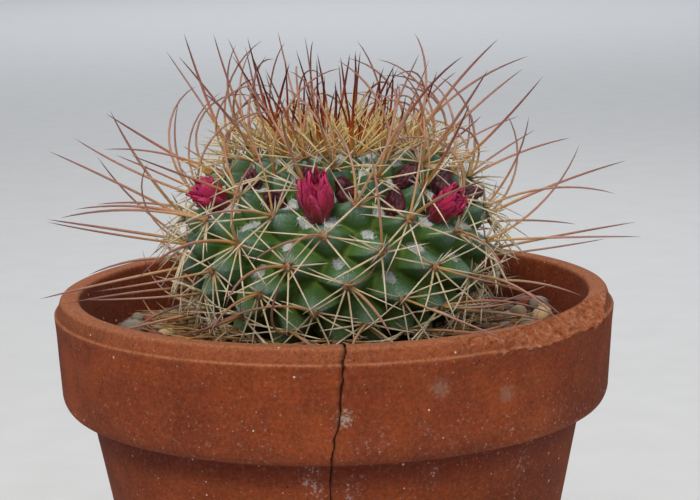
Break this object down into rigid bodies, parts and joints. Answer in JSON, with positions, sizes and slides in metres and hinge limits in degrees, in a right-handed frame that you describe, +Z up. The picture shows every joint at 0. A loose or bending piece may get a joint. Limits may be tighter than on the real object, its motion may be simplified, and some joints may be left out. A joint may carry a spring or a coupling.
{
  "type": "potted round cactus",
  "caption": "Round, spiny globe cactus with spiral rows of tubercles and a ring of flowers, standing in soil in a banded terracotta pot.",
  "frame": {"origin": "middle of the flat foot of the pot, on the surface it stands on", "axes": "+Z up through the pot and plant; -Y is the front, the side with the hairline crack; +X is to the right of it, where the rim is spalled"},
  "size_m": [0.152, 0.152, 0.193],
  "materials": {
    "terracotta": "unglazed fired clay, matt, fine grit and salt bloom",
    "soil": "dry mineral compost with a dressing of small rounded gravel",
    "cactus_skin": "waxy living skin, bluish green, with straw to red-brown spines and white wool",
    "fresh_petal": "satin magenta petals, darker red at the base",
    "dried_petal": "matt, papery, dark burgundy, shrivelled"
  },
  "bodies": {
    "root": {"pot": "terracotta", "soil": "soil", "cactus": "cactus_skin", "flower_fresh_1": "fresh_petal", "flower_fresh_2": "fresh_petal", "flower_fresh_3": "fresh_petal", "flower_fresh_4": "fresh_petal", "flower_dried_1": "dried_petal", "flower_dried_2": "dried_petal", "flower_dried_3": "dried_petal", "flower_dried_4": "dried_petal", "flower_dried_5": "dried_petal", "flower_dried_6": "dried_petal", "flower_dried_7": "dried_petal", "flower_dried_8": "dried_petal", "flower_dried_9": "dried_petal", "flower_dried_10": "dried_petal", "flower_dried_11": "dried_petal", "flower_dried_12": "dried_petal", "flower_dried_13": "dried_petal"}
  },
  "joints": []
}
